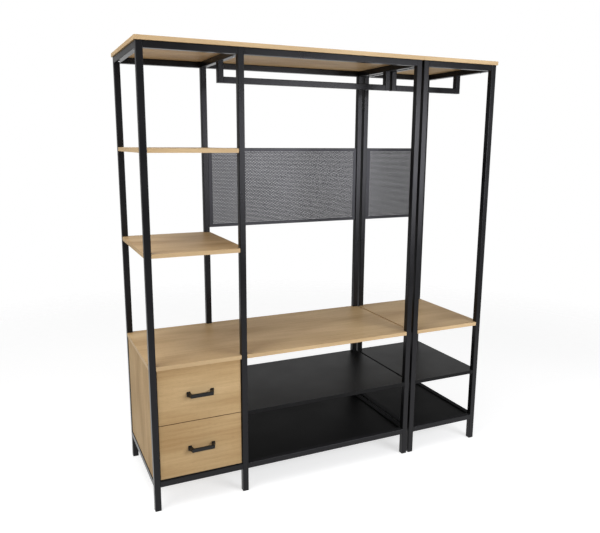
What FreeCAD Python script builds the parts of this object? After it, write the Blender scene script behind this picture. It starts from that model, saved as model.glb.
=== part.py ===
"""Open frame wardrobe: a wide unit with drawers and a narrow unit, standing side by side.

Millimetres. X runs to the right, the front faces -Y and Z is up. The origin is on the floor, under the
middle of the whole object with its drawer pulls. Each piece is one file in parts/.
"""
import FreeCAD, Part
import os
from FreeCAD import Base, Vector

# Frame: square tube, overall height and depth, clear widths of the three bays
TUBE = 25.0
TUBE_WALL = 1.2
TUBE_RADIUS = 2.5
HEIGHT = 1800.0
DEPTH = 515.0
TOWER_CLEAR = 343.0
HANGING_CLEAR = 767.0
NARROW_CLEAR = 337.0
BOTTOM_RAIL_BASE = 100.0
FOOT_HEIGHT = 5.0
FOOT_PLUG = 18.0
FOOT_CHAMFER = 1.0
FOOT_CLEARANCE = 0.2
SPIGOT_LENGTH = 24.0
SPIGOT_CLEARANCE = 0.3

# Boards: thickness, overhang of the top boards, spacing of the tower's boards, heights of the low shelves
BOARD = 16.0
BOARD_EDGE = 0.8
TOP_OVERHANG = 5.0
TOP_BOARD_GAP = 0.5
SHELF_BACK_INSET = 8.0
SHELF_SPACING = 382.0
BENCH_TOP = 600.0
SHOE_SHELF_TOP = 357.0
STUD_DIAMETER = 7.0
STUD_LENGTH = 14.0
STUD_CLEARANCE = 0.1

# Sheet metal: bottom panels, and back panels that hang at a drop from the top of the wardrobe
SHEET = 1.2
BOTTOM_PANEL_FLANGE = 14.0
BOTTOM_PANEL_SINK = 6.0
MESH_DROP = 384.0
MESH_HEIGHT = 359.0
MESH_FLANGE = 14.0
MESH_FRONT_INSET = 5.0

# Hanging rails: the clear drop from the top rails to the bar
HANGING_BAR_DROP = 57.0

# Screws that hold the top boards
TOP_SCREW_INSET = 87.0
TOP_SCREW_HEAD = 9.0
TOP_SCREW_HEAD_HEIGHT = 2.6
TOP_SCREW_SHANK = 4.0
TOP_SCREW_GRIP = 11.0
SCREW_CLEARANCE = 0.25

# Drawer case
CASE_SIDE_INSET = 3.0
CASE_BACK = 6.0

# Drawers
DRAWER_GAP = 2.5
DRAWER_SETBACK = 8.0
DRAWER_FRONT = 16.0
DRAWER_LENGTH = 440.0
DRAWER_SIDE = 12.0
DRAWER_SIDE_HEIGHT = 160.0
DRAWER_SIDE_LIFT = 22.0
DRAWER_BOTTOM = 5.0
DRAWER_BOTTOM_LIFT = 9.0
DRAWER_GROOVE = 5.0
SLIDE_MEMBER = 3.8
SLIDE_GAP = 0.4
SLIDE_LENGTH = 430.0
SLIDE_FRONT_GAP = 3.0
SLIDE_HEIGHTS = {"case": 42.0, "middle": 32.0, "drawer": 22.0}
SLIDE_ROUND = 1.0

# Bow pulls
PULL_SPACING = 96.0
PULL_BAR_LENGTH = 92.0
PULL_BAR_HEIGHT = 15.0
PULL_BAR_DEPTH = 9.0
PULL_REACH = 32.0
PULL_LEG = 12.0
PULL_FOOT_WIDTH = 15.0
PULL_FOOT_HEIGHT = 21.0
PULL_FOOT_DEPTH = 4.0
PULL_ROUND = 2.0
PULL_SCREW = 4.0
PULL_SCREW_HEAD = 8.0
PULL_SCREW_HEAD_HEIGHT = 2.5
PULL_SCREW_GRIP = 9.0

# Widths of the two units, and the left face of each side frame
LEFT_WIDTH = 3 * TUBE + TOWER_CLEAR + HANGING_CLEAR
RIGHT_WIDTH = 2 * TUBE + NARROW_CLEAR
UNIT_GAP = 2 * TOP_OVERHANG + TOP_BOARD_GAP
TOTAL_WIDTH = LEFT_WIDTH + UNIT_GAP + RIGHT_WIDTH
X_LEFT = -TOTAL_WIDTH / 2
X_MIDDLE = X_LEFT + TUBE + TOWER_CLEAR
X_RIGHT = X_MIDDLE + TUBE + HANGING_CLEAR
X_NARROW_LEFT = X_RIGHT + TUBE + UNIT_GAP
X_NARROW_RIGHT = X_NARROW_LEFT + TUBE + NARROW_CLEAR
FRAMES = {
    "wide_left": X_LEFT,
    "wide_middle": X_MIDDLE,
    "wide_right": X_RIGHT,
    "narrow_left": X_NARROW_LEFT,
    "narrow_right": X_NARROW_RIGHT,
}

# The three bays: the left and right limits of the clear width
BAYS = {
    "tower": (X_LEFT + TUBE, X_MIDDLE),
    "hanging": (X_MIDDLE + TUBE, X_RIGHT),
    "narrow": (X_NARROW_LEFT + TUBE, X_NARROW_RIGHT),
}

# Depths and heights that several pieces share: the object reaches from the pulls to the top boards' back
PULL_AHEAD = PULL_REACH - DRAWER_SETBACK
Y_FRONT = (PULL_AHEAD - TOP_OVERHANG - DEPTH) / 2
Y_BACK = Y_FRONT + DEPTH
FRAME_TOP = HEIGHT - BOARD
TOP_RAIL_BASE = FRAME_TOP - TUBE
BOTTOM_RAIL_TOP = BOTTOM_RAIL_BASE + TUBE
UPPER_SHELF_TOP = HEIGHT - SHELF_SPACING
LOWER_SHELF_TOP = UPPER_SHELF_TOP - SHELF_SPACING
MESH_TOP = HEIGHT - MESH_DROP
HANGING_BAR_TOP = TOP_RAIL_BASE - HANGING_BAR_DROP
BENCH_UNDERSIDE = BENCH_TOP - BOARD
FRONT_FACE = Y_FRONT + DRAWER_SETBACK
FRONT_BACK = FRONT_FACE + DRAWER_FRONT
FRONT_HEIGHT = (BENCH_UNDERSIDE - BOTTOM_RAIL_TOP - 3 * DRAWER_GAP) / 2
SLIDE_WIDTH = 3 * SLIDE_MEMBER + 2 * SLIDE_GAP
TOP_SCREW_HOLE = TOP_SCREW_SHANK + 2 * SCREW_CLEARANCE
PULL_SCREW_HOLE = PULL_SCREW + 2 * SCREW_CLEARANCE


def box(x, y, z):
    """A box from its limits along each axis, each a (low, high) pair."""
    corner = Vector(x[0], y[0], z[0])
    return Part.makeBox(x[1] - x[0], y[1] - y[0], z[1] - z[0], corner)


def centred(middle, length):
    """Limits of a length about its middle."""
    return middle - length / 2, middle + length / 2


def along(shape, axis):
    """The straight edges of a shape that run along an axis."""
    tolerance = Base.Precision.confusion()
    return [edge for edge in shape.Edges if edge.tangentAt(edge.FirstParameter).isParallel(axis, tolerance)]


def inside(limits, amount, open_ends=False):
    """Limits moved inwards by an amount, or left at full length where the ends are open."""
    if open_ends:
        return limits
    return limits[0] + amount, limits[1] - amount


def square_tube(x, y, z, axis, closed_base=0.0):
    """A hollow tube that fills its limits and runs along an axis, with an optional closed lower end."""
    directions = {"x": Vector(1, 0, 0), "y": Vector(0, 1, 0), "z": Vector(0, 0, 1)}
    outer = box(x, y, z)
    outer = outer.makeFillet(TUBE_RADIUS, along(outer, directions[axis]))
    bore_z = inside(z, TUBE_WALL, axis == "z")
    bore = box(
        inside(x, TUBE_WALL, axis == "x"),
        inside(y, TUBE_WALL, axis == "y"),
        (bore_z[0] + closed_base, bore_z[1]),
    )
    bore = bore.makeFillet(TUBE_RADIUS - TUBE_WALL, along(bore, directions[axis]))
    return outer.cut(bore)


def upright_rod(x, y, z, diameter):
    """A round rod along Z between two heights."""
    return Part.makeCylinder(diameter / 2, z[1] - z[0], Vector(x, y, z[0]))


def level_rod(x, y, z, diameter):
    """A round rod along Y between two depths."""
    return Part.makeCylinder(diameter / 2, y[1] - y[0], Vector(x, y[0], z), Vector(0, 1, 0))


def save(node, *solids):
    """Writes one node, as a single solid or a group of separate ones."""
    shape = solids[0] if len(solids) == 1 else Part.makeCompound(list(solids))
    shape.exportStep("parts/" + node + ".step")


def post_span(x):
    """The limits of a post's width, from the left face of its side frame."""
    return x, x + TUBE


def screw_depths():
    """The depths of the two screws in each top side rail."""
    return Y_FRONT + TOP_SCREW_INSET, Y_BACK - TOP_SCREW_INSET


def side_frame(x):
    """Two posts with a top and a bottom side rail between them, the top one drilled for its screws."""
    width = post_span(x)
    between = (Y_FRONT + TUBE, Y_BACK - TUBE)
    front_post = square_tube(width, (Y_FRONT, Y_FRONT + TUBE), (FOOT_HEIGHT, FRAME_TOP), "z")
    back_post = square_tube(width, (Y_BACK - TUBE, Y_BACK), (FOOT_HEIGHT, FRAME_TOP), "z")
    bottom_rail = square_tube(width, between, (BOTTOM_RAIL_BASE, BOTTOM_RAIL_TOP), "y")
    top_rail = square_tube(width, between, (TOP_RAIL_BASE, FRAME_TOP), "y")
    for y in screw_depths():
        top_rail = top_rail.cut(upright_rod(x + TUBE / 2, y, (TOP_RAIL_BASE, FRAME_TOP), TOP_SCREW_HOLE))
    return front_post, back_post, top_rail, bottom_rail


def rail_places():
    """Each front and back rail: its name, and its limits in depth and height."""
    depths = {"front": (Y_FRONT, Y_FRONT + TUBE), "back": (Y_BACK - TUBE, Y_BACK)}
    heights = {"top": (TOP_RAIL_BASE, FRAME_TOP), "bottom": (BOTTOM_RAIL_BASE, BOTTOM_RAIL_TOP)}
    return [(h + "_" + d + "_rail", depths[d], heights[h]) for h in heights for d in depths]


def spigot(x, y, z):
    """A solid plug that fills the bore of a rail over part of its length."""
    room = TUBE_WALL + SPIGOT_CLEARANCE
    plug = box(x, inside(y, room), inside(z, room))
    return plug.makeFillet(TUBE_RADIUS - TUBE_WALL, along(plug, Vector(1, 0, 0)))


def make_frames():
    """The five side frames, the rails of the three bays, the spigots in the rail ends and the feet."""
    for name, x in FRAMES.items():
        save(name + "_frame", *side_frame(x))
    spigots = []
    for bay, (left, right) in BAYS.items():
        for rail, y, z in rail_places():
            save(bay + "_" + rail, square_tube((left, right), y, z, "x"))
            spigots.append(spigot((left, left + SPIGOT_LENGTH), y, z))
            spigots.append(spigot((right - SPIGOT_LENGTH, right), y, z))
    save("rail_spigots", *spigots)
    save("feet", *[foot(x, y) for x in FRAMES.values() for y in (Y_FRONT, Y_BACK - TUBE)])


def foot(x, y):
    """A plug in the end of a post, with a pad as wide as the tube below it."""
    pad = box((x, x + TUBE), (y, y + TUBE), (0.0, FOOT_HEIGHT))
    pad = pad.makeFillet(TUBE_RADIUS, along(pad, Vector(0, 0, 1)))
    rim = [edge for edge in pad.Edges if edge.BoundBox.ZMax < FOOT_HEIGHT / 2]
    pad = pad.makeChamfer(FOOT_CHAMFER, rim)
    room = TUBE_WALL + FOOT_CLEARANCE
    bore = inside((x, x + TUBE), room), inside((y, y + TUBE), room)
    plug = box(*bore, (FOOT_HEIGHT, FOOT_HEIGHT + FOOT_PLUG))
    plug = plug.makeFillet(TUBE_RADIUS - TUBE_WALL, along(plug, Vector(0, 0, 1)))
    return pad.fuse(plug).removeSplitter()


def eased(shape):
    """A board with the sharpness taken off the edges of its upper and lower faces."""
    rims = [edge for edge in shape.Edges if edge.BoundBox.ZLength < BOARD_EDGE]
    return shape.makeFillet(BOARD_EDGE, rims)


def top_board(x, frames):
    """A top board over one unit, with blind holes for the screws in the side rails below it."""
    reach = (x[0] - TOP_OVERHANG, x[1] + TOP_OVERHANG)
    board = eased(box(reach, (Y_FRONT - TOP_OVERHANG, Y_BACK + TOP_OVERHANG), (FRAME_TOP, HEIGHT)))
    hole = (FRAME_TOP, FRAME_TOP + TOP_SCREW_GRIP)
    for frame in frames:
        for y in screw_depths():
            board = board.cut(upright_rod(frame + TUBE / 2, y, hole, TOP_SCREW_HOLE))
    return board


def top_screw(x, y):
    """A screw whose head lies under a top side rail and whose shank ends in the top board."""
    head = upright_rod(x, y, (TOP_RAIL_BASE - TOP_SCREW_HEAD_HEIGHT, TOP_RAIL_BASE), TOP_SCREW_HEAD)
    shank = upright_rod(x, y, (TOP_RAIL_BASE, FRAME_TOP + TOP_SCREW_GRIP), TOP_SCREW_SHANK)
    return head.fuse(shank)


def stud_places(x_posts, top):
    """Where the studs of a shelf stand: the face of the post, the way out of it, depth and height."""
    shelf_back = Y_BACK - SHELF_BACK_INSET
    depths = (Y_FRONT + TUBE / 2, (Y_BACK - TUBE + shelf_back) / 2)
    places = []
    for left, right in zip(x_posts, x_posts[1:]):
        for y in depths:
            places.append((left + TUBE, 1, y, top - BOARD / 2))
            places.append((right, -1, y, top - BOARD / 2))
    return places


def stud(place, extra=0.0):
    """A short round stud on the face of a post, or with extra the hole for it in the board."""
    x, way, y, z = place
    radius = STUD_DIAMETER / 2 + extra
    return Part.makeCylinder(radius, STUD_LENGTH + extra, Vector(x, y, z), Vector(way, 0, 0))


def shelf(x_posts, top, left_end):
    """A board from its left end to the outer face of its last frame, notched round every post it meets."""
    ends = (left_end, x_posts[-1] + TUBE)
    board = box(ends, (Y_FRONT, Y_BACK - SHELF_BACK_INSET), (top - BOARD, top))
    for x in x_posts:
        for y in (Y_FRONT, Y_BACK - TUBE):
            board = board.cut(box(post_span(x), (y, y + TUBE), (top - BOARD, top)))
    for place in stud_places(x_posts, top):
        board = board.cut(stud(place, STUD_CLEARANCE))
    return board


def make_boards():
    """Top boards with their screws, and the shelves with the studs that carry them.

    A shelf starts at the outer face of its first frame, the wide shoe shelf beside the drawer case.
    """
    wide = [X_LEFT, X_MIDDLE, X_RIGHT]
    narrow = [X_NARROW_LEFT, X_NARROW_RIGHT]
    save("wide_top_board", top_board((wide[0], wide[-1] + TUBE), wide))
    save("narrow_top_board", top_board((narrow[0], narrow[-1] + TUBE), narrow))
    save("top_board_screws", *[top_screw(x + TUBE / 2, y) for x in FRAMES.values() for y in screw_depths()])
    shelves = {
        "upper_shelf": (wide[:2], UPPER_SHELF_TOP, X_LEFT),
        "lower_shelf": (wide[:2], LOWER_SHELF_TOP, X_LEFT),
        "wide_bench_shelf": (wide, BENCH_TOP, X_LEFT),
        "wide_shoe_shelf": (wide[1:], SHOE_SHELF_TOP, X_MIDDLE + TUBE),
        "narrow_bench_shelf": (narrow, BENCH_TOP, X_NARROW_LEFT),
        "narrow_shoe_shelf": (narrow, SHOE_SHELF_TOP, X_NARROW_LEFT),
    }
    studs = []
    for name, (x_posts, top, left_end) in shelves.items():
        save(name, shelf(x_posts, top, left_end))
        studs += [stud(place) for place in stud_places(x_posts, top)]
    save("shelf_studs", *studs)


def bottom_panel(x):
    """A sheet sunk between the bottom rails, with a flange turned down along each side."""
    y = (Y_FRONT + TUBE, Y_BACK - TUBE)
    top = BOTTOM_RAIL_TOP - BOTTOM_PANEL_SINK
    outer = box(x, y, (top - BOTTOM_PANEL_FLANGE, top))
    return outer.cut(box(inside(x, SHEET), inside(y, SHEET), (top - BOTTOM_PANEL_FLANGE, top - SHEET)))


def mesh_panel(x):
    """A back panel between two back posts, with a flange turned to the back along each side."""
    z = (MESH_TOP - MESH_HEIGHT, MESH_TOP)
    front = Y_BACK - TUBE + MESH_FRONT_INSET
    outer = box(x, (front, front + MESH_FLANGE), z)
    return outer.cut(box(inside(x, SHEET), (front + SHEET, front + MESH_FLANGE), inside(z, SHEET)))


def hanging_rail(left, right):
    """A bar between two legs that hang from the top side rails of two frames."""
    y = centred((Y_FRONT + Y_BACK) / 2, TUBE)
    base = HANGING_BAR_TOP - TUBE
    legs = [square_tube(post_span(x), y, (base, TOP_RAIL_BASE), "z", TUBE_WALL) for x in (left, right)]
    return *legs, square_tube((left + TUBE, right), y, (base, HANGING_BAR_TOP), "x")


def make_hanging_bays():
    """Bottom panels, back panels and hanging rails of the two open bays."""
    for name, bay in (("wide", "hanging"), ("narrow", "narrow")):
        left, right = BAYS[bay]
        save(name + "_bottom_panel", bottom_panel((left, right)))
        save(name + "_mesh_panel", mesh_panel((left, right)))
        save(name + "_hanging_rail", *hanging_rail(left - TUBE, right))


def make_case():
    """The sides of the drawer case, which stand on the bottom side rails, and its back."""
    left, right = BAYS["tower"]
    z = (BOTTOM_RAIL_TOP, BENCH_UNDERSIDE)
    y = (Y_FRONT + TUBE, Y_BACK - TUBE)
    save("case_left_side", box((left - TUBE + CASE_SIDE_INSET, left), y, z))
    save("case_right_side", box((right, right + TUBE - CASE_SIDE_INSET), y, z))
    middle = Y_BACK - TUBE / 2
    save("case_back", box((left, right), (middle - CASE_BACK / 2, middle + CASE_BACK / 2), z))


def drawer_slides(base):
    """The case, middle and drawer members of the two slides of a drawer, from the base of its sides."""
    left, right = BAYS["tower"]
    y_start = FRONT_BACK + SLIDE_FRONT_GAP
    y = (y_start, y_start + SLIDE_LENGTH)
    members = {}
    for step, (name, height) in enumerate(SLIDE_HEIGHTS.items()):
        away = step * (SLIDE_MEMBER + SLIDE_GAP)
        z = centred(base + DRAWER_SIDE_HEIGHT / 2, height)
        pair = [box((left + away, left + away + SLIDE_MEMBER), y, z)]
        pair.append(box((right - away - SLIDE_MEMBER, right - away), y, z))
        members[name] = [bar.makeFillet(SLIDE_ROUND, along(bar, Vector(0, 1, 0))) for bar in pair]
    return members


def drawer_box(base):
    """The sides, back and bottom of a drawer, from the base of its sides."""
    left, right = BAYS["tower"]
    outer = (left + SLIDE_WIDTH, right - SLIDE_WIDTH)
    inner = inside(outer, DRAWER_SIDE)
    y = (FRONT_BACK, FRONT_BACK + DRAWER_LENGTH)
    z = (base, base + DRAWER_SIDE_HEIGHT)
    floor = (base + DRAWER_BOTTOM_LIFT, base + DRAWER_BOTTOM_LIFT + DRAWER_BOTTOM)
    bottom = box((inner[0] - DRAWER_GROOVE, inner[1] + DRAWER_GROOVE), y, floor)
    return {
        "left_side": box((outer[0], inner[0]), y, z).cut(bottom),
        "right_side": box((inner[1], outer[1]), y, z).cut(bottom),
        "back": box(inner, (y[1] - DRAWER_SIDE, y[1]), (floor[1], z[1])),
        "bottom": bottom,
    }


def drawer_front(base, pull_x, pull_z):
    """A drawer front with a hole for each screw of its pull."""
    front = box(inside(BAYS["tower"], DRAWER_GAP), (FRONT_FACE, FRONT_BACK), (base, base + FRONT_HEIGHT))
    rim = [edge for edge in front.Edges if edge.BoundBox.YMax < FRONT_FACE + BOARD_EDGE]
    front = front.makeFillet(BOARD_EDGE, rim)
    for x in pull_x:
        front = front.cut(level_rod(x, (FRONT_FACE, FRONT_BACK), pull_z, PULL_SCREW_HOLE))
    return front


def bow_outline():
    """The plan of a bow pull: distances from its middle and from the drawer front, in order round it."""
    right = [
        ((PULL_SPACING + PULL_LEG) / 2, 0.0),
        (PULL_BAR_LENGTH / 2, PULL_REACH),
        (PULL_BAR_LENGTH / 2 - PULL_BAR_DEPTH, PULL_REACH - PULL_BAR_DEPTH),
        ((PULL_SPACING - PULL_LEG) / 2, 0.0),
    ]
    left = [(-across, out) for across, out in right]
    return [right[0], right[1], left[1], left[0], left[3], left[2], right[2], right[3]]


def pull(pull_x, z):
    """A bow pull: a bar whose legs lean out to two feet that lie on the drawer front."""
    middle = sum(pull_x) / 2
    base = z - PULL_BAR_HEIGHT / 2
    points = [Vector(middle + across, FRONT_FACE - out, base) for across, out in bow_outline()]
    body = Part.Face(Part.makePolygon(points + points[:1])).extrude(Vector(0, 0, PULL_BAR_HEIGHT))
    sole_y = (FRONT_FACE - PULL_FOOT_DEPTH, FRONT_FACE)
    body = body.makeFillet(PULL_ROUND, [edge for edge in body.Edges if edge.BoundBox.YMin < sole_y[0]])
    for x in pull_x:
        sole = box(centred(x, PULL_FOOT_WIDTH), sole_y, centred(z, PULL_FOOT_HEIGHT))
        rim = [edge for edge in sole.Edges if edge.BoundBox.YMin < sum(sole_y) / 2]
        sole = sole.makeFillet(PULL_ROUND, rim)
        body = body.fuse(sole)
    bore = (FRONT_FACE - PULL_SCREW_GRIP - SCREW_CLEARANCE, FRONT_FACE)
    for x in pull_x:
        body = body.cut(level_rod(x, bore, z, PULL_SCREW_HOLE))
    return body.removeSplitter()


def pull_screw(x, z):
    """A screw from inside the drawer, through the front and into a leg of the pull."""
    head = level_rod(x, (FRONT_BACK, FRONT_BACK + PULL_SCREW_HEAD_HEIGHT), z, PULL_SCREW_HEAD)
    return head.fuse(level_rod(x, (FRONT_FACE - PULL_SCREW_GRIP, FRONT_BACK), z, PULL_SCREW))


def make_drawer(name, front_base):
    """One drawer: its front, box, pull and slides."""
    base = front_base + DRAWER_SIDE_LIFT
    pull_x = centred(sum(BAYS["tower"]) / 2, PULL_SPACING)
    pull_z = front_base + FRONT_HEIGHT / 2
    save(name + "_drawer_front", drawer_front(front_base, pull_x, pull_z))
    for piece, solid in drawer_box(base).items():
        save(name + "_drawer_" + piece, solid)
    save(name + "_drawer_pull", pull(pull_x, pull_z))
    save(name + "_pull_screws", *[pull_screw(x, pull_z) for x in pull_x])
    for member, pair in drawer_slides(base).items():
        save(name + "_" + member + "_slides", *pair)


def main():
    """Builds every piece of both units."""
    os.makedirs("parts", exist_ok=True)
    make_frames()
    make_boards()
    make_hanging_bays()
    make_case()
    lower_base = BOTTOM_RAIL_TOP + DRAWER_GAP
    make_drawer("lower", lower_base)
    make_drawer("upper", lower_base + FRONT_HEIGHT + DRAWER_GAP)


main()
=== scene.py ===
"""Looks of the open frame wardrobe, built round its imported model.

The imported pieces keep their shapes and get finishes. The perforated back panels, the screws and the drawer
slides are built here in full detail and stand for their plain solids. Metres; the front faces -Y.
"""
import logging
import math
from dataclasses import dataclass, replace
from enum import Enum

import bmesh
import bpy
from mathutils import Matrix, Vector

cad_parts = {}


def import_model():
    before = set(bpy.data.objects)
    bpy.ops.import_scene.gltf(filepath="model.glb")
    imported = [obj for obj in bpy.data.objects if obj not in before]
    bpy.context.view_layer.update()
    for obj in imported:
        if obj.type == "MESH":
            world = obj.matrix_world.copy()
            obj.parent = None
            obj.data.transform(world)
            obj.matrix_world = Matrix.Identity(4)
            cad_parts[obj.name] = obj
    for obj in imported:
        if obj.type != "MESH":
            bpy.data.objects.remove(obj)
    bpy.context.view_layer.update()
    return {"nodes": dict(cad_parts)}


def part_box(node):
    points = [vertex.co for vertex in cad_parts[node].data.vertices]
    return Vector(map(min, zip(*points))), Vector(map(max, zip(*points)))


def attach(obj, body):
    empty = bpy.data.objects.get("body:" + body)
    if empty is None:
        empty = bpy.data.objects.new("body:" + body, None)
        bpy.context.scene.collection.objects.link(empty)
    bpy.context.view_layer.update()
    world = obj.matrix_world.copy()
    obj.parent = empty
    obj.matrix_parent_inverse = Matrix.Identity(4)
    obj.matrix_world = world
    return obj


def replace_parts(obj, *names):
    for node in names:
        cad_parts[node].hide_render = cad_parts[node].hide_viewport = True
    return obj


LOG = logging.getLogger("wardrobe")
PHOTO_WIDTH_PX = 600
MM = 0.001

Colour = tuple[float, float, float]
Point = tuple[float, float, float]
Span = tuple[float, float]
Value = float | Colour | bpy.types.NodeSocket

WHITE: Colour = (1.0, 1.0, 1.0)
WHOLE: Span = (0.0, 1.0)
# Most values of a noise pattern lie in this range.
NOISE_SPAN: Span = (0.3, 0.7)
# Keeps a division by a direction's share away from zero.
TINY = 1e-9


class Graph:
    """The nodes of a material or of the world, with short calls that add nodes and join their sockets."""

    def __init__(self, owner: bpy.types.Material | bpy.types.World) -> None:
        """Turn on the owner's nodes.

        Args:
            owner: The material or the world.
        """
        owner.use_nodes = True
        self.owner = owner
        self.tree = owner.node_tree

    def feed(self, socket: bpy.types.NodeSocket, value: Value) -> None:
        """Give a socket a value, or join it to another node's output.

        Args:
            socket: The input to fill.
            value: A number, a colour, a point or another node's output.
        """
        if isinstance(value, bpy.types.NodeSocket):
            self.tree.links.new(value, socket)
        elif socket.type == "RGBA":
            socket.default_value = (*value, 1.0)
        else:
            socket.default_value = value

    def add(self, kind: str, sockets: dict[str | int, Value] | None = None,
            **settings: object) -> bpy.types.Node:
        """Add a node.

        Args:
            kind: The node's type, without its usual prefix.
            sockets: Values or outputs for its inputs, by name or number.
            settings: Values for its own properties.

        Returns:
            The new node.
        """
        node = self.tree.nodes.new("ShaderNode" + kind)
        for name, value in settings.items():
            setattr(node, name, value)
        for key, value in (sockets or {}).items():
            self.feed(node.inputs[key], value)
        return node

    def stretch(self, vector: bpy.types.NodeSocket, scale: Point) -> bpy.types.NodeSocket:
        """A vector multiplied along each axis."""
        return self.add("Mapping", {"Vector": vector, "Scale": scale}).outputs["Vector"]

    def noise(self, vector: bpy.types.NodeSocket, scale: float, detail: float) -> bpy.types.NodeSocket:
        """A soft random pattern, about 0.5 in the middle."""
        return self.add("TexNoise", {"Vector": vector, "Scale": scale, "Detail": detail}).outputs["Fac"]

    def remap(self, value: bpy.types.NodeSocket, source: Span, target: Span) -> bpy.types.NodeSocket:
        """A value moved from one range to another and held inside it.

        Args:
            value: The value to move.
            source: The range it comes from.
            target: The range it goes to.

        Returns:
            The moved value.
        """
        sockets = {"Value": value, "From Min": source[0], "From Max": source[1]}
        sockets |= {"To Min": target[0], "To Max": target[1]}
        return self.add("MapRange", sockets).outputs["Result"]

    def math(self, operation: str, first: Value, second: Value = 0.0) -> bpy.types.NodeSocket:
        """The result of a sum on one or two values."""
        return self.add("Math", {0: first, 1: second}, operation=operation).outputs["Value"]

    def mix_colour(self, factor: Value, first: Value, second: Value) -> bpy.types.NodeSocket:
        """Two colours mixed."""
        return self.add("Mix", {0: factor, 6: first, 7: second}, data_type="RGBA").outputs[2]

    def mix_vector(self, factor: Value, first: Value, second: Value) -> bpy.types.NodeSocket:
        """Two vectors mixed."""
        return self.add("Mix", {0: factor, 4: first, 5: second}, data_type="VECTOR").outputs[1]

    def ray(self, kind: str) -> bpy.types.NodeSocket:
        """One for the rays of a kind, and zero for others."""
        return self.add("LightPath").outputs[kind]

    def seen_rays(self) -> bpy.types.NodeSocket:
        """One where a ray shows a thing to the camera, in a reflection or through a piece."""
        mirrored = self.math("MAXIMUM", self.ray("Is Camera Ray"), self.ray("Is Glossy Ray"))
        return self.math("MAXIMUM", mirrored, self.ray("Is Transmission Ray"))


class Surface(Graph):
    """The nodes of one material, which end in its principled shader."""

    def __init__(self, name: str) -> None:
        """Start a material of this name."""
        super().__init__(bpy.data.materials.new(name))
        self.shader = self.tree.nodes["Principled BSDF"]

    def place(self) -> bpy.types.NodeSocket:
        """The point on the piece, in its own rest frame."""
        return self.add("TexCoord").outputs["Object"]

    def facing(self, axis: str) -> bpy.types.NodeSocket:
        """How far the surface faces along an axis of the piece, from -1 to 1."""
        return self.add("SeparateXYZ", {"Vector": self.add("TexCoord").outputs["Normal"]}).outputs[axis]

    def bump(self, height: bpy.types.NodeSocket, strength: float, distance: float) -> None:
        """Raise and lower the surface's shading by a pattern."""
        sockets = {"Height": height, "Strength": strength, "Distance": distance}
        self.feed(self.shader.inputs["Normal"], self.add("Bump", sockets).outputs["Normal"])

    def shade(self, **sockets: Value) -> bpy.types.Material:
        """Fill the shader's sockets, whose names are written here with _ for each space.

        Args:
            sockets: Values or outputs by socket name.

        Returns:
            The finished material.
        """
        for name, value in sockets.items():
            self.feed(self.shader.inputs[name.replace("_", " ")], value)
        return self.owner


class Grain(Enum):
    """The axes that lie along the grain, across it and through the board."""

    SHELF = ("X", "Y", "Z")
    UPRIGHT = ("Z", "Y", "X")
    FRONT = ("X", "Z", "Y")


@dataclass(frozen=True)
class GrainLayer:
    """A pattern in the wood: its scale along, across and through the grain, its detail and its weight."""

    scale: Point
    detail: float
    weight: float

    def pattern(self, surface: Surface, vector: bpy.types.NodeSocket) -> bpy.types.NodeSocket:
        """The layer's noise over the points of a board."""
        return surface.noise(surface.stretch(vector, self.scale), 1.0, self.detail)


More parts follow.
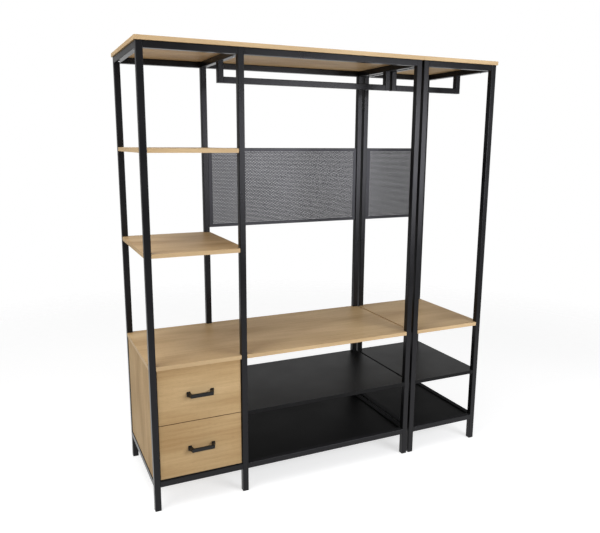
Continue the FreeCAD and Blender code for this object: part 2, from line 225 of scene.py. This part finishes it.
@dataclass(frozen=True)
class OakFinish:
    """Oak-look laminate: soft bands, streaks, rings, fibres and short open pores along the grain, with a
    painted highlight on shelf edges and painted shade on drawer-front sides.
    """

    name: str = "oak_laminate"
    light: Colour = (0.70, 0.500, 0.270)
    dark: Colour = (0.47, 0.297, 0.137)
    pore: Colour = (0.32, 0.190, 0.085)
    # Painted highlight: shelf edge faces are mixed toward this lighter colour, standing in for the extra
    # front light that the edges catch.
    edge_highlight_colour: Colour = (0.78, 0.590, 0.365)
    edge_highlight_share: float = 0.3
    # Painted shade: the drawer front's top, bottom and end faces take this dark colour, standing in for the
    # shade in the gaps round the drawers.
    gap_shade_colour: Colour = (0.16, 0.100, 0.050)
    roughness: float = 0.50
    roughness_swing: float = 0.05
    specular: float = 0.15
    bands: GrainLayer = GrainLayer((1.1, 8.0, 8.0), 3.0, 1.1)
    streaks: GrainLayer = GrainLayer((3.5, 75.0, 75.0), 5.0, 0.50)
    fibres: GrainLayer = GrainLayer((14.0, 620.0, 620.0), 3.0, 0.25)
    pores: GrainLayer = GrainLayer((42.0, 1500.0, 1500.0), 1.0, 0.45)
    rings: GrainLayer = GrainLayer((0.8, 11.0, 11.0), 2.0, 0.16)
    ring_bend: float = 7.0
    ring_detail_scale: float = 0.8
    tone_span: Span = (0.70, 1.30)
    pore_span: Span = (0.60, 0.70)
    end_limit: float = 0.7
    side_limit: float = 0.5
    relief: float = 0.0002
    relief_strength: float = 0.25

    def grain_vector(self, surface: Surface, grain: Grain) -> bpy.types.NodeSocket:
        """Points with the grain along the first axis; a shelf's ends carry a band along their own length.

        Args:
            surface: The material's nodes.
            grain: The way the grain runs.

        Returns:
            The vector that every pattern of the finish uses.
        """
        axes = surface.add("SeparateXYZ", {"Vector": surface.place()}).outputs
        along, across, through = (axes[name] for name in grain.value)
        lengthwise = surface.add("CombineXYZ", {"X": along, "Y": across, "Z": through}).outputs["Vector"]
        if grain is not Grain.SHELF:
            return lengthwise
        crosswise = surface.add("CombineXYZ", {"X": across, "Y": along, "Z": through}).outputs["Vector"]
        at_end = surface.math("GREATER_THAN", surface.math("ABSOLUTE", surface.facing("X")), self.end_limit)
        return surface.mix_vector(at_end, lengthwise, crosswise)

    def ring_pattern(self, surface: Surface, vector: bpy.types.NodeSocket) -> bpy.types.NodeSocket:
        """The wavy growth rings over the points of a board.

        Args:
            surface: The material's nodes.
            vector: The points, with the grain along the first axis.

        Returns:
            The pattern.
        """
        sockets = {"Vector": surface.stretch(vector, self.rings.scale), "Scale": 1.0}
        sockets |= {"Distortion": self.ring_bend, "Detail": self.rings.detail}
        sockets |= {"Detail Scale": self.ring_detail_scale}
        return surface.add("TexWave", sockets).outputs["Fac"]

    def sides(self, surface: Surface, axis: str) -> bpy.types.NodeSocket:
        """One on the faces that don't face along an axis."""
        return surface.math("LESS_THAN", surface.math("ABSOLUTE", surface.facing(axis)), self.side_limit)

    def material(self, grain: Grain) -> bpy.types.Material:
        """The finish with its grain one way.

        Args:
            grain: The way the grain runs.

        Returns:
            The material.
        """
        surface = Surface(f"{self.name}_{grain.name.lower()}")
        vector = self.grain_vector(surface, grain)
        fibres = self.fibres.pattern(surface, vector)
        pores = surface.remap(self.pores.pattern(surface, vector), self.pore_span, WHOLE)
        layers = (
            (self.streaks.pattern(surface, vector), self.streaks.weight),
            (fibres, self.fibres.weight),
            (self.ring_pattern(surface, vector), self.rings.weight),
        )
        figure = surface.math("MULTIPLY", self.bands.pattern(surface, vector), self.bands.weight)
        for layer, weight in layers:
            figure = surface.math("ADD", figure, surface.math("MULTIPLY", layer, weight))
        wood = surface.mix_colour(surface.remap(figure, self.tone_span, WHOLE), self.dark, self.light)
        colour = surface.mix_colour(surface.math("MULTIPLY", pores, self.pores.weight), wood, self.pore)
        # Painted highlight: faces that don't look up or down are lightened, as if the shelf edges caught
        # more light from the front.
        if grain is Grain.SHELF:
            edge_highlight_mask = surface.math("MULTIPLY", self.sides(surface, "Z"), self.edge_highlight_share)
            colour = surface.mix_colour(edge_highlight_mask, colour, self.edge_highlight_colour)
        # Painted shade on the drawer front's edge faces, where the gaps round the drawers are in shade.
        if grain is Grain.FRONT:
            colour = surface.mix_colour(self.sides(surface, "Y"), colour, self.gap_shade_colour)
        swing = (self.roughness + self.roughness_swing, self.roughness - self.roughness_swing)
        spread = surface.remap(fibres, NOISE_SPAN, swing)
        surface.bump(surface.math("SUBTRACT", fibres, pores), self.relief_strength, self.relief)
        return surface.shade(Base_Color=colour, Roughness=spread, Specular_IOR_Level=self.specular)


@dataclass(frozen=True)
class CoatFinish:
    """A coat of black paint or laminate: faint clouds of tone and gloss over a fine peel."""

    name: str
    dark: Colour
    light: Colour
    roughness: float
    specular: float
    sheen: Colour = WHITE
    # Roughness added on the faces that look up, and the slopes at which it starts and is whole.
    top_dulling: float = 0.0
    top_span: Span = (0.6, 0.9)
    roughness_swing: float = 0.03
    cloud_scale: float = 7.0
    cloud_detail: float = 4.0
    peel_scale: float = 750.0
    peel_detail: float = 2.0
    relief: float = 0.00008
    relief_strength: float = 0.2

    def material(self) -> bpy.types.Material:
        """The coat, duller on the faces that look up where the finish says so.

        Returns:
            The material.
        """
        surface = Surface(self.name)
        cloud = surface.noise(surface.place(), self.cloud_scale, self.cloud_detail)
        colour = surface.mix_colour(surface.remap(cloud, NOISE_SPAN, WHOLE), self.dark, self.light)
        swing = (self.roughness - self.roughness_swing, self.roughness + self.roughness_swing)
        spread = surface.remap(cloud, NOISE_SPAN, swing)
        if self.top_dulling:
            dulling = surface.remap(surface.facing("Z"), self.top_span, (0.0, self.top_dulling))
            spread = surface.math("ADD", spread, dulling)
        peel = surface.noise(surface.place(), self.peel_scale, self.peel_detail)
        surface.bump(peel, self.relief_strength, self.relief)
        return surface.shade(Base_Color=colour, Roughness=spread, Specular_IOR_Level=self.specular,
                             Specular_Tint=self.sheen)


@dataclass(frozen=True)
class SteelFinish:
    """Plated steel with fine drawn lines along the depth of the wardrobe."""

    name: str
    light: Colour
    dark: Colour
    roughness: float
    roughness_swing: float = 0.06
    cloud_scale: float = 35.0
    cloud_detail: float = 3.0
    line_scale: Point = (900.0, 12.0, 900.0)
    line_detail: float = 2.0
    relief: float = 0.00004
    relief_strength: float = 0.2

    def material(self) -> bpy.types.Material:
        """The plated steel.

        Returns:
            The material.
        """
        surface = Surface(self.name)
        cloud = surface.noise(surface.place(), self.cloud_scale, self.cloud_detail)
        colour = surface.mix_colour(surface.remap(cloud, NOISE_SPAN, WHOLE), self.dark, self.light)
        lines = surface.noise(surface.stretch(surface.place(), self.line_scale), 1.0, self.line_detail)
        swing = (self.roughness - self.roughness_swing, self.roughness + self.roughness_swing)
        spread = surface.remap(lines, NOISE_SPAN, swing)
        surface.bump(lines, self.relief_strength, self.relief)
        return surface.shade(Base_Color=colour, Roughness=spread, Metallic=1.0)


@dataclass(frozen=True)
class Finishes:
    """Every finish of the wardrobe."""

    oak: OakFinish = OakFinish()
    upright_oak: OakFinish = OakFinish("oak_upright", specular=0.03)
    drawer_oak: OakFinish = OakFinish(
        "drawer_lining", light=(0.64, 0.50, 0.33), dark=(0.52, 0.39, 0.24), pore=(0.40, 0.28, 0.16),
        pores=replace(OakFinish.pores, weight=0.25))
    tube: CoatFinish = CoatFinish(
        "black_powder_coat", (0.0042, 0.0042, 0.0045), (0.0068, 0.0068, 0.0072), roughness=0.30,
        specular=0.26, sheen=(0.95, 0.94, 1.0), top_dulling=0.6)
    sheet: CoatFinish = CoatFinish(
        "black_sheet_coat", (0.0045, 0.0045, 0.0048), (0.0070, 0.0070, 0.0074), roughness=0.40,
        specular=0.42, sheen=(0.92, 0.91, 1.0))
    tray: CoatFinish = CoatFinish(
        "black_tray_coat", (0.0030, 0.0030, 0.0032), (0.0050, 0.0050, 0.0053), roughness=0.55, specular=0.05)
    board: CoatFinish = CoatFinish(
        "black_laminate", (0.0060, 0.0060, 0.0064), (0.0090, 0.0090, 0.0096), roughness=0.42, specular=0.10,
        peel_scale=1100.0)
    pull: CoatFinish = CoatFinish(
        "pull_lacquer", (0.0040, 0.0040, 0.0042), (0.0060, 0.0060, 0.0062), roughness=0.34, specular=0.30)
    plastic: CoatFinish = CoatFinish(
        "foot_plastic", (0.0080, 0.0080, 0.0082), (0.0120, 0.0120, 0.0124), roughness=0.50, specular=0.30,
        peel_scale=420.0)
    slide: SteelFinish = SteelFinish("plated_slide", (0.66, 0.67, 0.69), (0.52, 0.53, 0.55), roughness=0.30)
    screw: SteelFinish = SteelFinish("plated_screw", (0.60, 0.61, 0.63), (0.46, 0.47, 0.49), roughness=0.32)


@dataclass(frozen=True)
class EasedEdges:
    """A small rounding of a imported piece's sharp edges, by modifiers that leave its mesh as it is."""

    width: float
    steps: int = 2
    sharp_angle: float = math.radians(40)
    weld_gap: float = 0.01 * MM

    def ease(self, piece: bpy.types.Object) -> None:
        """Join the corners of a piece and round its edges.

        Args:
            piece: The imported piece.
        """
        weld = piece.modifiers.new("joined_corners", "WELD")
        weld.merge_threshold = self.weld_gap
        bevel = piece.modifiers.new("eased_edges", "BEVEL")
        bevel.width = self.width
        bevel.segments = self.steps
        bevel.limit_method = "ANGLE"
        bevel.angle_limit = self.sharp_angle


def link_piece(name: str, mesh: bmesh.types.BMesh) -> bpy.types.Object:
    """Turn a mesh in the making into a piece of the scene.

    Args:
        name: The piece's name.
        mesh: The mesh, which is used up.

    Returns:
        The piece.
    """
    bmesh.ops.recalc_face_normals(mesh, faces=mesh.faces)
    data = bpy.data.meshes.new(name)
    mesh.to_mesh(data)
    mesh.free()
    piece = bpy.data.objects.new(name, data)
    bpy.context.scene.collection.objects.link(piece)
    return piece


def dress(piece: bpy.types.Object, material: bpy.types.Material) -> None:
    """Give a piece its finish.

    Args:
        piece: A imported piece, or one built here.
        material: The finish.
    """
    if not piece.material_slots:
        piece.data.materials.append(material)
    for slot in piece.material_slots:
        slot.material = material
    LOG.info("%s: %s", piece.name, material.name)


@dataclass
class FrameTubes:
    """The welded side frames, the rails between them, the hanging rails, and the plugs and feet in them."""

    frames: tuple[str, ...] = ("wide_left", "wide_middle", "wide_right", "narrow_left", "narrow_right")
    bays: tuple[str, ...] = ("tower", "hanging", "narrow")
    rails: tuple[str, ...] = ("top_front", "top_back", "bottom_front", "bottom_back")
    hanging_rails: tuple[str, ...] = ("wide_hanging_rail", "narrow_hanging_rail")
    plugs: tuple[str, ...] = ("rail_spigots", "shelf_studs")

    def tubes(self) -> list[str]:
        """The names of every tube."""
        rails = [f"{bay}_{rail}_rail" for bay in self.bays for rail in self.rails]
        return [f"{name}_frame" for name in self.frames] + rails + list(self.hanging_rails)

    def finish(self, nodes: dict[str, bpy.types.Object], finishes: Finishes) -> None:
        """Dress the tubes, the plugs and the feet.

        Args:
            nodes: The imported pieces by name.
            finishes: The wardrobe's finishes.
        """
        coat = finishes.tube.material()
        for name in self.tubes():
            dress(nodes[name], coat)
        dress(nodes["feet"], finishes.plastic.material())
        steel = finishes.slide.material()
        for name in self.plugs:
            dress(nodes[name], steel)


@dataclass
class Boards:
    """Top boards, oak shelves, black shelves, bottom panels and the sides and back of the drawer case."""

    edges: EasedEdges = EasedEdges(0.7 * MM)
    tops: tuple[str, ...] = ("wide_top_board", "narrow_top_board")
    oak: tuple[str, ...] = ("upper_shelf", "lower_shelf", "wide_bench_shelf", "narrow_bench_shelf")
    black: tuple[str, ...] = ("wide_shoe_shelf", "narrow_shoe_shelf")
    upright: tuple[str, ...] = ("case_left_side", "case_right_side", "case_back")
    panels: tuple[str, ...] = ("wide_bottom_panel", "narrow_bottom_panel")

    def finish(self, nodes: dict[str, bpy.types.Object], finishes: Finishes) -> None:
        """Dress the boards and ease the edges of those without screw holes.

        Args:
            nodes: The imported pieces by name.
            finishes: The wardrobe's finishes.
        """
        oak = finishes.oak.material(Grain.SHELF)
        coats = {
            self.tops: oak,
            self.oak: oak,
            self.black: finishes.board.material(),
            self.upright: finishes.upright_oak.material(Grain.UPRIGHT),
            self.panels: finishes.tray.material(),
        }
        for names, coat in coats.items():
            for name in names:
                dress(nodes[name], coat)
                if names is not self.tops:
                    self.edges.ease(nodes[name])


@dataclass
class Drawers:
    """The two drawers: oak fronts, lined boxes and black pulls."""

    names: tuple[str, ...] = ("upper", "lower")
    box_boards: tuple[str, ...] = ("left_side", "right_side", "back", "bottom")
    edges: EasedEdges = EasedEdges(0.5 * MM)

    def finish(self, nodes: dict[str, bpy.types.Object], finishes: Finishes) -> None:
        """Dress the drawers and ease the edges of their boxes.

        Args:
            nodes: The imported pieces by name.
            finishes: The wardrobe's finishes.
        """
        front = finishes.upright_oak.material(Grain.FRONT)
        lining = finishes.drawer_oak.material(Grain.UPRIGHT)
        lacquer = finishes.pull.material()
        for drawer in self.names:
            dress(nodes[f"{drawer}_drawer_front"], front)
            dress(nodes[f"{drawer}_drawer_pull"], lacquer)
            for board in self.box_boards:
                piece = nodes[f"{drawer}_drawer_{board}"]
                dress(piece, lining)
                self.edges.ease(piece)


class FlatSheet:
    """A flat upright sheet in the making, whose faces share one vertex at each place."""

    def __init__(self, depth: float) -> None:
        """Start an empty sheet.

        Args:
            depth: Where the sheet lies from front to back.
        """
        self.mesh = bmesh.new()
        self.depth = depth
        self.corners: dict[Span, bmesh.types.BMVert] = {}

    def corner(self, x: float, z: float) -> bmesh.types.BMVert:
        """The one vertex at a place.

        Args:
            x: The place along the wardrobe.
            z: Its height.

        Returns:
            The vertex, made when it is first asked for.
        """
        key = (round(x / MM, 3), round(z / MM, 3))
        if key not in self.corners:
            self.corners[key] = self.mesh.verts.new((x, self.depth, z))
        return self.corners[key]

    def face(self, *places: Span) -> None:
        """Add a face with its corners at these places."""
        self.mesh.faces.new([self.corner(*place) for place in places])


@dataclass
class BackPanel:
    """A perforated back panel: staggered six-sided holes, a plain border and a flange turned to the back."""

    node: str
    pitch: float = 7.2 * MM
    hole: float = 3.2 * MM
    border: float = 14 * MM
    bend: float = 2.0 * MM
    bend_steps: int = 4
    thickness: float = 1.2 * MM

    def build(self) -> bpy.types.Object:
        """Make the panel where its plain solid is.

        Returns:
            The panel, which stands for the solid.
        """
        low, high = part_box(self.node)
        row = self.pitch * math.sin(math.radians(60))
        columns = int((high.x - low.x - 2 * self.border) / self.pitch)
        rows = int((high.z - low.z - 2 * self.border) / row)
        left = (low.x + high.x - columns * self.pitch) / 2
        xs = [left + k * self.pitch / 2 for k in range(2 * columns + 1)]
        zs = [low.z + self.border + k * row for k in range(rows + 1)]
        sheet = FlatSheet(low.y)
        for number, limits in enumerate(zip(zs, zs[1:])):
            self.hole_row(sheet, xs, limits, number % 2 == 1)
        outer_x = (low.x + self.bend, high.x - self.bend)
        outer_z = (low.z + self.bend, high.z - self.bend)
        rim = [(outer_x[0], outer_z[0]), (outer_x[1], outer_z[0]), (outer_x[1], outer_z[1]),
               (outer_x[0], outer_z[1])]
        sheet.face(rim[0], rim[1], *((x, zs[0]) for x in reversed(xs)))
        sheet.face(rim[1], rim[2], *((xs[-1], z) for z in reversed(zs)))
        sheet.face(rim[2], rim[3], *((x, zs[-1]) for x in xs))
        sheet.face(rim[3], rim[0], *((xs[0], z) for z in zs))
        self.flange(sheet.mesh, [sheet.corner(*place) for place in rim], high.y)
        piece = link_piece(self.node + "_perforated", sheet.mesh)
        thicken = piece.modifiers.new("sheet", "SOLIDIFY")
        thicken.thickness = self.thickness
        thicken.offset = -1.0
        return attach(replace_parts(piece, self.node), "frame")

    def hole_row(self, sheet: FlatSheet, xs: list[float], z: Span, staggered: bool) -> None:
        """One row of holes, with a plain half cell at each end of a staggered row.

        Args:
            sheet: The sheet to add to.
            xs: Places half a pitch apart, from one end of the row to the other.
            z: The row's lower and upper limits.
            staggered: Whether the row is moved by half a pitch.
        """
        first = 1 if staggered else 0
        for k in range(first, len(xs) - 2, 2):
            self.cell(sheet, xs[k:k + 3], z)
        if staggered:
            for left, right in (xs[:2], xs[-2:]):
                sheet.face((left, z[0]), (right, z[0]), (right, z[1]), (left, z[1]))

    def cell(self, sheet: FlatSheet, xs: list[float], z: Span) -> None:
        """One hole and the sheet round it, as six faces.

        Args:
            sheet: The sheet to add to.
            xs: The cell's left limit, middle and right limit.
            z: Its lower and upper limits.
        """
        left, middle, right = xs
        outline = [(right, z[0]), (right, z[1]), (middle, z[1]), (left, z[1]), (left, z[0]), (middle, z[0])]
        radius = self.hole / 2
        turns = [2 * math.pi * k / len(outline) for k in range(len(outline))]
        ring = [(middle + radius * math.cos(turn), sum(z) / 2 + radius * math.sin(turn)) for turn in turns]
        for k, start in enumerate(outline):
            stop = outline[(k + 1) % len(outline)]
            sheet.face(start, stop, ring[k], ring[k - 1])

    def flange(self, mesh: bmesh.types.BMesh, rim: list[bmesh.types.BMVert], back: float) -> None:
        """The rounded bend along the rim and the flange behind it.

        Args:
            mesh: The mesh to add to.
            rim: The four corners of the flat sheet.
            back: The depth at which the flange ends.
        """
        middle = sum((vertex.co for vertex in rim), Vector()) / len(rim)
        start = [vertex.co.copy() for vertex in rim]
        turns = [math.pi / 2 * k / self.bend_steps for k in range(1, self.bend_steps + 1)]
        offsets = [(self.bend * math.sin(turn), self.bend * (1 - math.cos(turn))) for turn in turns]
        offsets.append((self.bend, back - start[0].y))
        rings = [rim]
        for out, behind in offsets:
            ring = []
            for place in start:
                aside = math.copysign(out, place.x - middle.x)
                rise = math.copysign(out, place.z - middle.z)
                ring.append(mesh.verts.new(place + Vector((aside, behind, rise))))
            rings.append(ring)
        for inner, outer in zip(rings, rings[1:]):
            for k in range(len(rim)):
                step = (k + 1) % len(rim)
                mesh.faces.new([inner[k], outer[k], outer[step], inner[step]])

    def finish(self, finishes: Finishes) -> None:
        """Build the panel and dress it."""
        dress(self.build(), finishes.sheet.material())


@dataclass(frozen=True)
class CrossScrew:
    """A pan-head screw with a cross recess, turned round its axis; its shares are of the head's radius."""

    head: float
    head_height: float
    shank: float
    length: float
    sides: int = 48
    arm_share: float = 0.55
    slot_share: float = 0.16
    recess_taper: float = 0.75
    recess_depth: float = 0.6
    dome: tuple[Span, ...] = ((0.72, -0.02), (0.90, -0.22), (0.98, -0.50), (1.0, -1.0))

    def recess(self, angle: float) -> float:
        """How far the cross recess reaches in one direction.

        Args:
            angle: The direction round the screw's axis.

        Returns:
            The distance from the axis.
        """
        arm, half = self.arm_share * self.head, self.slot_share * self.head
        across, along = abs(math.cos(angle)) + TINY, abs(math.sin(angle)) + TINY
        return max(min(arm / across, half / along), min(half / across, arm / along))

    def build(self, mesh: bmesh.types.BMesh, place: Vector, axis: Vector) -> None:
        """Add the screw to a mesh.

        Args:
            mesh: The mesh to add to.
            place: The middle of the head's outer face.
            axis: The way the head faces.
        """
        turn = axis.to_track_quat("Z", "Y")
        angles = [2 * math.pi * k / self.sides for k in range(self.sides)]
        reach = [self.recess(angle) for angle in angles]
        deep = -self.recess_depth * self.head_height
        rings = [[(radius * self.recess_taper, deep) for radius in reach]]
        rings += [[(radius, 0.0) for radius in reach]]
        rings += [[(share * self.head, drop * self.head_height)] * self.sides for share, drop in self.dome]
        rings += [[(self.shank, -depth)] * self.sides for depth in (self.head_height, self.length)]
        rows = []
        for ring in rings:
            row = []
            for angle, (radius, height) in zip(angles, ring):
                point = Vector((radius * math.cos(angle), radius * math.sin(angle), height))
                row.append(mesh.verts.new(place + turn @ point))
            rows.append(row)
        for inner, outer in zip(rows, rows[1:]):
            for k in range(self.sides):
                step = (k + 1) % self.sides
                mesh.faces.new([inner[k], outer[k], outer[step], inner[step]])
        mesh.faces.new(rows[0])
        mesh.faces.new(rows[-1])


@dataclass
class Screws:
    """The screws under the top boards and the screws that hold the pulls."""

    head: float = 4.5 * MM
    head_height: float = 2.6 * MM
    shank: float = 2.0 * MM
    pull_height_share: float = 0.55
    pull_shank_share: float = 0.45
    frames: tuple[str, ...] = FrameTubes.frames
    drawers: tuple[str, ...] = Drawers.names

    def top_screws(self) -> bpy.types.Object:
        """The ten screws that go up through the side frames into the top boards.

        Returns:
            The screws as one piece.
        """
        low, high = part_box("top_board_screws")
        screw = CrossScrew(self.head, self.head_height, self.shank, high.z - low.z)
        mesh = bmesh.new()
        for name in self.frames:
            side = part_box(f"{name}_frame")
            for y in (low.y + self.head, high.y - self.head):
                screw.build(mesh, Vector(((side[0].x + side[1].x) / 2, y, low.z)), Vector((0, 0, -1)))
        piece = link_piece("top_board_cross_screws", mesh)
        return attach(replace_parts(piece, "top_board_screws"), "frame")

    def pull_screws(self, drawer: str) -> bpy.types.Object:
        """The two screws of one pull, with their heads inside the drawer.

        Args:
            drawer: The drawer's name.

        Returns:
            The screws as one piece.
        """
        node = f"{drawer}_pull_screws"
        low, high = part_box(node)
        head = (high.z - low.z) / 2
        screw = CrossScrew(head, self.pull_height_share * head, self.pull_shank_share * head, high.y - low.y)
        mesh = bmesh.new()
        for x in (low.x + head, high.x - head):
            screw.build(mesh, Vector((x, high.y, low.z + head)), Vector((0, 1, 0)))
        piece = link_piece(f"{drawer}_pull_cross_screws", mesh)
        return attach(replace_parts(piece, node), f"{drawer}_drawer")

    def finish(self, finishes: Finishes) -> None:
        """Build every screw and dress it.

        Args:
            finishes: The wardrobe's finishes.
        """
        steel = finishes.screw.material()
        dress(self.top_screws(), steel)
        for drawer in self.drawers:
            dress(self.pull_screws(drawer), steel)


class Member(Enum):
    """The three members of a drawer slide."""

    CASE = "case"
    MIDDLE = "middle"
    DRAWER = "drawer"


@dataclass
class DrawerSlides:
    """Three-part drawer slides: rolled channels with turned lips and screws through their webs."""

    thickness: float = 3.8 * MM
    wall: float = 1.0 * MM
    lip: float = 5.0 * MM
    screw: CrossScrew = CrossScrew(head=3.0 * MM, head_height=1.1 * MM, shank=1.5 * MM, length=1.6 * MM)
    screw_places: tuple[float, ...] = (0.12, 0.5, 0.88)
    drawers: tuple[str, ...] = Drawers.names

    def outline(self, height: float) -> list[Span]:
        """The channel's section.

        Args:
            height: The channel's height.

        Returns:
            Its corners, as depths from the back of the web and heights.
        """
        outer, inner, wall = self.thickness, self.thickness - self.wall, self.wall
        half = [(outer, 0.0), (outer, self.lip), (inner, self.lip), (inner, wall), (wall, wall)]
        upper = [(depth, height - rise) for depth, rise in reversed(half)]
        return [(0.0, 0.0)] + half + upper + [(0.0, height)]

    def channel(self, mesh: bmesh.types.BMesh, web: Vector, way: float, height: float,
                length: float) -> None:
        """One channel with its screws.

        Args:
            mesh: The mesh to add to.
            web: The lower front corner of the web's back.
            way: The side to which the channel opens, 1 or -1.
            height: The channel's height.
            length: Its length.
        """
        ends = []
        for y in (0.0, length):
            ends.append([mesh.verts.new(web + Vector((way * d, y, z))) for d, z in self.outline(height)])
        count = len(ends[0])
        for k in range(count):
            step = (k + 1) % count
            mesh.faces.new([ends[0][k], ends[0][step], ends[1][step], ends[1][k]])
        for end in ends:
            mesh.faces.new(end)
        out = way * (self.wall + self.screw.head_height)
        for share in self.screw_places:
            self.screw.build(mesh, web + Vector((out, share * length, height / 2)), Vector((way, 0, 0)))

    def pair(self, drawer: str, member: Member) -> bpy.types.Object:
        """The left and right channels of one member.

        Args:
            drawer: The drawer's name.
            member: Which member of the slide.

        Returns:
            The pair as one piece.
        """
        node = f"{drawer}_{member.value}_slides"
        low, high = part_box(node)
        if member is Member.DRAWER:
            webs = ((low.x + self.thickness, -1.0), (high.x - self.thickness, 1.0))
        else:
            webs = ((low.x, 1.0), (high.x, -1.0))
        mesh = bmesh.new()
        for x, way in webs:
            self.channel(mesh, Vector((x, low.y, low.z)), way, high.z - low.z, high.y - low.y)
        bodies = {
            Member.CASE: "frame",
            Member.MIDDLE: f"{drawer}_slide_middle",
            Member.DRAWER: f"{drawer}_drawer",
        }
        piece = link_piece(f"{node}_channels", mesh)
        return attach(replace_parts(piece, node), bodies[member])

    def finish(self, finishes: Finishes) -> None:
        """Build every slide and dress it.

        Args:
            finishes: The wardrobe's finishes.
        """
        steel = finishes.slide.material()
        for drawer in self.drawers:
            for member in Member:
                dress(self.pair(drawer, member), steel)


@dataclass(frozen=True)
class StudioCamera:
    """The photograph's camera: its place, three angles in degrees and its focal length in pixels."""

    place: Point = (-1.2122, -2.5143, 1.4392)
    yaw: float = 24.7595
    pitch: float = 11.2004
    roll: float = -0.3278
    focal_px: float = 623.1
    sensor: float = 36.0

    def set_up(self) -> None:
        """Make the camera and use it for the scene."""
        yaw, pitch = math.radians(self.yaw), math.radians(self.pitch)
        ahead = Vector((math.sin(yaw) * math.cos(pitch), math.cos(yaw) * math.cos(pitch), -math.sin(pitch)))
        right = Vector((math.cos(yaw), -math.sin(yaw), 0.0))
        up = right.cross(ahead)
        turn = Matrix((right, up, -ahead)).transposed() @ Matrix.Rotation(math.radians(-self.roll), 3, "Z")
        data = bpy.data.cameras.new("photo_camera")
        data.sensor_width = self.sensor
        data.lens = self.focal_px / PHOTO_WIDTH_PX * self.sensor
        camera = bpy.data.objects.new("photo_camera", data)
        camera.matrix_world = Matrix.Translation(self.place) @ turn.to_4x4()
        bpy.context.scene.collection.objects.link(camera)
        bpy.context.scene.camera = camera


@dataclass(frozen=True)
class Softbox:
    """A flat soft lamp that faces a point of the wardrobe, bright by its radiance."""

    name: str
    place: Point
    target: Point
    size: Span
    radiance: float
    tint: Colour = WHITE

    def hang(self) -> None:
        """Make the lamp, out of the camera's sight."""
        data = bpy.data.lights.new(self.name, "AREA")
        data.shape = "RECTANGLE"
        data.size, data.size_y = self.size
        data.energy = self.radiance * math.pi * self.size[0] * self.size[1]
        data.color = self.tint
        lamp = bpy.data.objects.new(self.name, data)
        way = Vector(self.target) - Vector(self.place)
        turn = way.to_track_quat("-Z", "Y").to_matrix().to_4x4()
        lamp.matrix_world = Matrix.Translation(self.place) @ turn
        lamp.visible_camera = False
        bpy.context.scene.collection.objects.link(lamp)


@dataclass(frozen=True)
class Studio:
    """A pale floor that fades into a white background, and soft lamps."""

    floor_radius: float = 4.0
    floor_sides: int = 96
    floor_fade: Span = (2.2, 3.8)
    floor_colour: Colour = (0.62, 0.62, 0.62)
    floor_lift: float = 0.66
    floor_roughness: Span = (0.85, 0.95)
    speckle_scale: float = 60.0
    speckle_detail: float = 3.0
    fill: float = 0.34
    # The backdrop starts and is wholly white at these cosines of the angle from its middle.
    backdrop: Span = (0.82, 0.94)
    backdrop_way: Point = (0.42, 0.905, 0.06)
    lamps: tuple[Softbox, ...] = (
        Softbox("key_softbox", (1.22, -2.45, 1.36), (0.1, -0.1, 1.0), (1.4, 1.0), 10.2, (0.96, 0.97, 1.0)),
        Softbox("top_softbox", (-1.6, -0.5, 3.0), (-0.6, 0.0, 0.6), (1.8, 1.8), 3.2),
        Softbox("left_softbox", (-2.6, -1.2, 2.0), (-0.6, 0.0, 0.7), (1.2, 1.2), 2.3),
    )

    def light_world(self) -> None:
        """Fill light all round, with a white backdrop behind the wardrobe and a dimmer room before it."""
        world = bpy.data.worlds.new("studio_air")
        graph = Graph(world)
        ways = {0: graph.add("TexCoord").outputs["Generated"], 1: self.backdrop_way}
        nearness = graph.add("VectorMath", ways, operation="DOT_PRODUCT").outputs["Value"]
        behind = graph.remap(nearness, self.backdrop, WHOLE)
        white = graph.math("MAXIMUM", behind, graph.ray("Is Camera Ray"))
        shown = graph.math("MULTIPLY", graph.seen_rays(), white)
        background = graph.tree.nodes["Background"]
        graph.feed(background.inputs["Color"], WHITE)
        graph.feed(background.inputs["Strength"], graph.remap(shown, WHOLE, (self.fill, 1.0)))
        bpy.context.scene.world = world

    def lay_floor(self) -> None:
        """A round pale floor that keeps the wardrobe's shadow."""
        mesh = bmesh.new()
        bmesh.ops.create_circle(mesh, cap_ends=True, radius=self.floor_radius, segments=self.floor_sides)
        floor = link_piece("studio_floor", mesh)
        surface = Surface("pale_floor")
        away = surface.add("VectorMath", {0: surface.place()}, operation="LENGTH").outputs["Value"]
        speckle = surface.noise(surface.place(), self.speckle_scale, self.speckle_detail)
        material = surface.shade(
            Base_Color=self.floor_colour,
            Roughness=surface.remap(speckle, NOISE_SPAN, self.floor_roughness),
            Specular_IOR_Level=0.0,
            Emission_Color=WHITE,
            Emission_Strength=surface.math("MULTIPLY", surface.seen_rays(), self.floor_lift),
            Alpha=surface.remap(away, self.floor_fade, (1.0, 0.0)),
        )
        dress(floor, material)

    def set_up(self) -> None:
        """Make the background, the floor and the lamps."""
        self.light_world()
        self.lay_floor()
        for lamp in self.lamps:
            lamp.hang()
        bpy.context.scene.view_settings.view_transform = "Standard"


def main() -> None:
    """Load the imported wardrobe, dress it, build its detailed pieces and set up the studio."""
    logging.basicConfig(level=logging.INFO, format="%(name)s %(message)s")
    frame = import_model()
    nodes = frame["nodes"]
    finishes = Finishes()
    StudioCamera().set_up()
    for assembly in (FrameTubes(), Boards(), Drawers()):
        assembly.finish(nodes, finishes)
    for node in ("wide_mesh_panel", "narrow_mesh_panel"):
        BackPanel(node).finish(finishes)
    for hardware in (Screws(), DrawerSlides()):
        hardware.finish(finishes)
    Studio().set_up()


if __name__ == "__main__":
    main()
